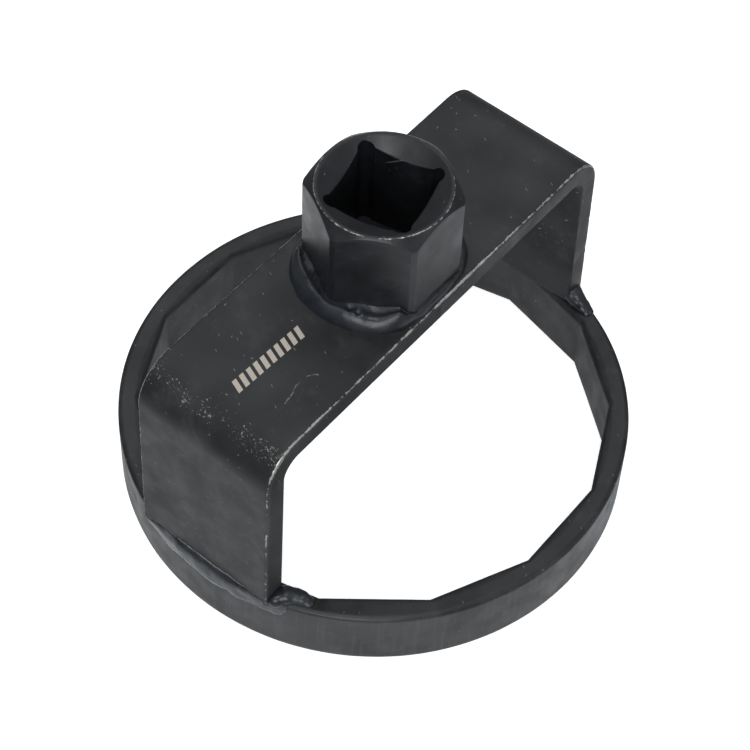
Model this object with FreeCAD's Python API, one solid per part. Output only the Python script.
"""Cap-type oil filter wrench: a fluted ring, a bent flat-bar bridge and a hexagonal drive boss.

The three are welded together. All sizes are in millimetres. The origin is on the ring's axis at the
ring's bottom face, +Z points up to the drive boss, and the bridge runs along X. Each sub-part is
written to its own STEP file.
"""

import FreeCAD, Part

import math
import os

from FreeCAD import Vector

# Ring that fits over the filter cap
FLUTE_COUNT = 14
FLUTE_ACROSS_FLATS = 74.0
FLUTE_CORNER_RADIUS = 0.4
RING_OUTER_RADIUS = 41.1
RING_HEIGHT = 11.5
RING_OUTER_CHAMFER = 0.4
BORE_MOUTH_CHAMFER = 0.5

# Flat bar bent into a bridge over the ring
BAR_WIDTH = 25.0
BAR_THICKNESS = 4.0
BAR_EDGE_RADIUS = 0.5
BRIDGE_TOP = 46.8
BRIDGE_FOOT_HALF_LENGTH = 40.35
LEG_SPLAY_DEG = 1.5
BEND_OUTER_RADIUS = 7.0
BEND_INNER_RADIUS = 3.0
BRIDGE_OFFSET_Y = 0.7
BRIDGE_TURN_DEG = -0.85

# Drive boss: turned hexagon with a square socket for a 1/2 inch drive
HEX_ACROSS_FLATS = 21.0
HEX_TURNED_RADIUS = 11.85
HEX_TOP = 64.1
HEX_RIM_RADIUS = 10.2
RIM_LAND = 0.35
DISH_SLOPE_DEG = 25.0
DRIVE_SQUARE = 13.0
DRIVE_CORNER_RADIUS = 2.0
DRIVE_RELIEF_RADIUS = 1.3
DRIVE_RELIEF_TIP_RADIUS = 9.15
DRIVE_TURN_DEG = 12.5

# Weld beads
DRIVE_WELD_BASE_RADIUS = 14.0
DRIVE_WELD_TOP_RADIUS = 11.2
DRIVE_WELD_HEIGHT = 3.2
DRIVE_WELD_HALF_WIDTH = 11.3
FOOT_WELD_PATH_RADIUS = 40.3
FOOT_WELD_RADIUS = 1.6
FOOT_WELD_DROP = 0.5
CORNER_WELD_PATH_RADIUS = 39.2
CORNER_WELD_RADIUS = 1.8
CORNER_WELD_RUN_DEG = 6.0
CORNER_WELD_START_INSIDE = 1.0

ORIGIN = Vector(0, 0, 0)
UP = Vector(0, 0, 1)
OVERCUT = 5.0

# Lengths closer than SAME_PLACE and unit vectors closer than SAME_WAY count as equal
SAME_PLACE = 0.01
SAME_WAY = 1e-6


def regular_polygon_wire(sides, across_flats, z):
    """A regular polygon with one corner on +X, at height z."""
    corner_radius = across_flats / 2 / math.cos(math.pi / sides)
    turns = [2 * math.pi * k / sides for k in range(sides + 1)]
    corners = [Vector(corner_radius * math.cos(t), corner_radius * math.sin(t), z) for t in turns]
    return Part.makePolygon(corners)


def prism(wire, height):
    """A solid pushed straight up from a closed flat wire."""
    return Part.Face(wire).extrude(Vector(0, 0, height))


def vertical_edges(shape):
    """The straight edges that run along Z."""
    return [
        e
        for e in shape.Edges
        if len(e.Vertexes) == 2 and abs(abs(e.tangentAt(e.FirstParameter).z) - 1) < SAME_WAY
    ]


def face_edges(shape, z):
    """The edges that lie in the level plane at height z."""
    return [
        e
        for e in shape.Edges
        if e.BoundBox.ZLength < SAME_PLACE and abs(e.CenterOfMass.z - z) < SAME_PLACE
    ]


def ring_blank():
    """The ring before its bore is cut: a disc with both round edges broken."""
    disc = Part.makeCylinder(RING_OUTER_RADIUS, RING_HEIGHT)
    return disc.makeChamfer(RING_OUTER_CHAMFER, face_edges(disc, 0) + face_edges(disc, RING_HEIGHT))


def make_ring():
    """The ring: round outside, with a fluted bore right through it and the bore's mouths broken."""
    bore = prism(regular_polygon_wire(FLUTE_COUNT, FLUTE_ACROSS_FLATS, 0), RING_HEIGHT)
    bore = bore.makeFillet(FLUTE_CORNER_RADIUS, vertical_edges(bore))
    ring = ring_blank().cut(bore)
    inside = RING_OUTER_RADIUS - RING_OUTER_CHAMFER - SAME_PLACE
    mouths = [
        e
        for z in (0, RING_HEIGHT)
        for e in face_edges(ring, z)
        if all(math.hypot(v.X, v.Y) < inside for v in e.Vertexes)
    ]
    return ring.makeChamfer(BORE_MOUTH_CHAMFER, mouths)


def leg_face_x(z):
    """Distance of a leg's outer face from the ring's axis plane at height z."""
    return BRIDGE_FOOT_HALF_LENGTH - (z - RING_HEIGHT) * math.tan(math.radians(LEG_SPLAY_DEG))


def bridge_outline():
    """The bar's edge view with square bends, standing on the ring, as points in the XZ plane."""
    inner_step = BAR_THICKNESS / math.cos(math.radians(LEG_SPLAY_DEG))
    underside = BRIDGE_TOP - BAR_THICKNESS
    right_side = [
        (leg_face_x(RING_HEIGHT) - inner_step, RING_HEIGHT),
        (leg_face_x(RING_HEIGHT), RING_HEIGHT),
        (leg_face_x(BRIDGE_TOP), BRIDGE_TOP),
    ]
    left_side = [(-x, z) for x, z in reversed(right_side)]
    inner_corner_x = leg_face_x(underside) - inner_step
    return right_side + left_side + [(-inner_corner_x, underside), (inner_corner_x, underside)]


def bend_edges(shape, height):
    """The two edges along Y where the bar is bent, at the given height."""
    return [
        e
        for e in shape.Edges
        if abs(e.CenterOfMass.z - height) < SAME_PLACE
        and abs(abs(e.tangentAt(e.FirstParameter).y) - 1) < SAME_WAY
    ]


def long_bar_edges(shape):
    """The edges that run along the bar on both sides, without those at its two feet."""
    half = BAR_WIDTH / 2
    return [
        e
        for e in shape.Edges
        if all(abs(abs(v.Y) - half) < SAME_PLACE for v in e.Vertexes)
        and abs(e.CenterOfMass.y) > half - SAME_PLACE
        and e.CenterOfMass.z > RING_HEIGHT + SAME_PLACE
    ]


def make_bridge():
    """The bridge: one length of flat bar with two bends, its feet cut flat to stand on the ring.

    It was welded on by hand, a little off the ring's middle and a little turned.
    """
    points = [Vector(x, -BAR_WIDTH / 2, z) for x, z in bridge_outline()]
    bar = Part.Face(Part.makePolygon(points + [points[0]])).extrude(Vector(0, BAR_WIDTH, 0))
    bar = bar.makeFillet(BEND_OUTER_RADIUS, bend_edges(bar, BRIDGE_TOP))
    bar = bar.makeFillet(BEND_INNER_RADIUS, bend_edges(bar, BRIDGE_TOP - BAR_THICKNESS))
    bar = bar.makeFillet(BAR_EDGE_RADIUS, long_bar_edges(bar))
    bar.rotate(ORIGIN, UP, BRIDGE_TURN_DEG)
    bar.translate(Vector(0, BRIDGE_OFFSET_Y, 0))
    return bar


def drive_socket():
    """The space of the drive socket: a conical dish, and a square with a round relief in each corner."""
    slope = math.tan(math.radians(DISH_SLOPE_DEG))
    dish_radius = HEX_RIM_RADIUS - RIM_LAND
    apex = Vector(0, 0, HEX_TOP - dish_radius * slope)
    dish = Part.makeCone(0, dish_radius + OVERCUT, (dish_radius + OVERCUT) * slope, apex)

    depth = HEX_TOP - BRIDGE_TOP
    half = DRIVE_SQUARE / 2
    square = Part.makeBox(DRIVE_SQUARE, DRIVE_SQUARE, depth, Vector(-half, -half, BRIDGE_TOP))
    square = square.makeFillet(DRIVE_CORNER_RADIUS, vertical_edges(square))
    relief_at = DRIVE_RELIEF_TIP_RADIUS - DRIVE_RELIEF_RADIUS
    reliefs = []
    for corner in range(4):
        angle = math.radians(45 + 90 * corner)
        centre = Vector(relief_at * math.cos(angle), relief_at * math.sin(angle), BRIDGE_TOP)
        reliefs.append(Part.makeCylinder(DRIVE_RELIEF_RADIUS, depth, centre))
    square = square.fuse(reliefs).removeSplitter()
    square.rotate(ORIGIN, UP, DRIVE_TURN_DEG)
    return [square, dish]


def hex_blank():
    """The boss without its socket: a hexagon with turned corners and a chamfered top."""
    height = HEX_TOP - BRIDGE_TOP
    hexagon = prism(regular_polygon_wire(6, HEX_ACROSS_FLATS, BRIDGE_TOP), height)
    turned = Part.makeCylinder(HEX_TURNED_RADIUS, height, Vector(0, 0, BRIDGE_TOP))
    chamfer = HEX_TURNED_RADIUS - HEX_RIM_RADIUS
    round_edge = face_edges(turned, HEX_TOP)
    return hexagon.common(turned.makeChamfer(chamfer, round_edge))


def make_drive_boss():
    """The drive boss, standing on the bridge."""
    return hex_blank().cut(drive_socket())


def make_drive_weld():
    """The fillet weld round the foot of the drive boss, kept inside the bar's width."""
    base = Vector(0, 0, BRIDGE_TOP)
    bead = Part.makeCone(DRIVE_WELD_BASE_RADIUS, DRIVE_WELD_TOP_RADIUS, DRIVE_WELD_HEIGHT, base)
    reach = DRIVE_WELD_BASE_RADIUS + OVERCUT
    width_limit = Part.makeBox(
        2 * reach,
        2 * DRIVE_WELD_HALF_WIDTH,
        DRIVE_WELD_HEIGHT,
        Vector(-reach, -DRIVE_WELD_HALF_WIDTH, BRIDGE_TOP),
    )
    return bead.common(width_limit).cut(hex_blank())


def round_bead(path_radius, z, bead_radius, start_deg, end_deg):
    """A round bead with ball ends along an arc about the ring's axis, between two angles from +X."""
    section = Part.Wire(Part.makeCircle(bead_radius, Vector(path_radius, 0, z), Vector(0, 1, 0)))
    run = Part.Face(section).revolve(ORIGIN, UP, end_deg - start_deg)
    run.rotate(ORIGIN, UP, start_deg)
    balls = []
    for angle in (math.radians(start_deg), math.radians(end_deg)):
        centre = Vector(path_radius * math.cos(angle), path_radius * math.sin(angle), z)
        balls.append(Part.makeSphere(bead_radius, centre))
    return run.fuse(balls)


def largest_solid(shape):
    """The largest solid of a cut bead: what is left over inside the bore or under the bar is no weld."""
    return max(shape.Solids, key=lambda solid: solid.Volume)


def make_foot_weld(bridge, middle_deg):
    """The weld across the outside of one leg's foot; middle_deg is the leg's direction from +X."""
    half_angle = math.degrees(math.asin(BAR_WIDTH / 2 / FOOT_WELD_PATH_RADIUS))
    z = RING_HEIGHT - FOOT_WELD_DROP
    start, end = middle_deg - half_angle, middle_deg + half_angle
    bead = round_bead(FOOT_WELD_PATH_RADIUS, z, FOOT_WELD_RADIUS, start, end)
    return largest_solid(bead.cut([ring_blank(), bridge]))


def make_corner_weld(bridge, foot_weld, middle_deg, side):
    """The end of a leg's weld, turned round the bar's front edge onto the ring's top face.

    side is +1 where the bead runs on with rising angle, and -1 where it runs on with falling angle.
    """
    reach = BAR_WIDTH / 2 - CORNER_WELD_START_INSIDE
    near = middle_deg + side * math.degrees(math.asin(reach / CORNER_WELD_PATH_RADIUS))
    start, end = sorted((near, near + side * CORNER_WELD_RUN_DEG))
    bead = round_bead(CORNER_WELD_PATH_RADIUS, RING_HEIGHT, CORNER_WELD_RADIUS, start, end)
    return largest_solid(bead.cut([ring_blank(), bridge, foot_weld]))


def main():
    os.makedirs("parts", exist_ok=True)
    bridge = make_bridge()
    nodes = {
        "filter_ring": make_ring(),
        "bridge_bar": bridge,
        "drive_boss": make_drive_boss(),
        "drive_weld": make_drive_weld(),
    }
    for leg, middle_deg, side in (("right", 0, -1), ("left", 180, 1)):
        foot_weld = make_foot_weld(bridge, middle_deg)
        nodes[f"{leg}_foot_weld"] = foot_weld
        nodes[f"{leg}_corner_weld"] = make_corner_weld(bridge, foot_weld, middle_deg, side)
    for name, shape in nodes.items():
        print(f"{name}: {len(shape.Solids)} solid, {shape.Volume:.1f} mm3")
        shape.exportStep(f"parts/{name}.step")


main()
